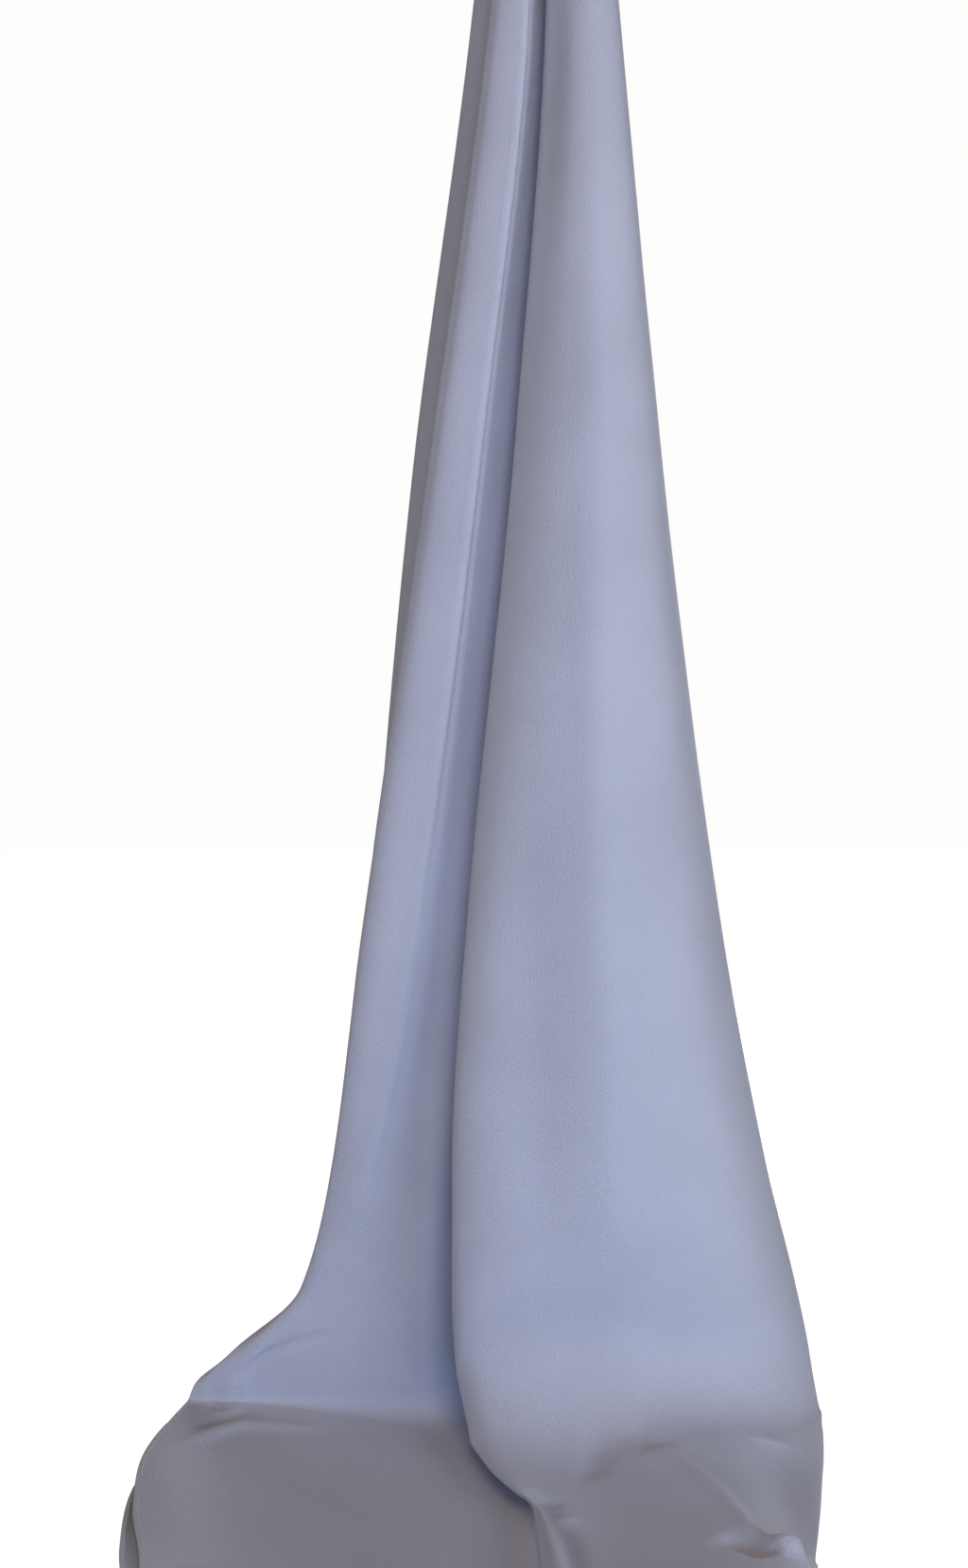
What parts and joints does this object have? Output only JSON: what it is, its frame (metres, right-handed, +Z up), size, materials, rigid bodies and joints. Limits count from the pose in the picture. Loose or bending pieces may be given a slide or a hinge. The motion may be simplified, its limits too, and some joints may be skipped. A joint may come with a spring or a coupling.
{
  "type": "hijab",
  "caption": "Plain rectangular hijab of fine crepe, gathered at one end and hanging in long soft folds onto a surface, where it runs forward.",
  "frame": {"origin": "the point in the gathered end where the hijab is held, 50 mm below its edge and 1325 mm above the surface that it comes down on", "axes": "+Z up along the hanging folds, -Y forward, the way that the lying stretch runs and the folds face, +X to the right seen from the front"},
  "size_m": [0.4917, 0.5723, 1.3752],
  "materials": {
    "cloth": "matt crepe with a slight sheen, grey lilac"
  },
  "bodies": {
    "root": {"panel": "cloth", "hem_front_side": "cloth", "hem_back_side": "cloth", "hem_gathered_end": "cloth", "hem_lower_end": "cloth"}
  },
  "joints": []
}
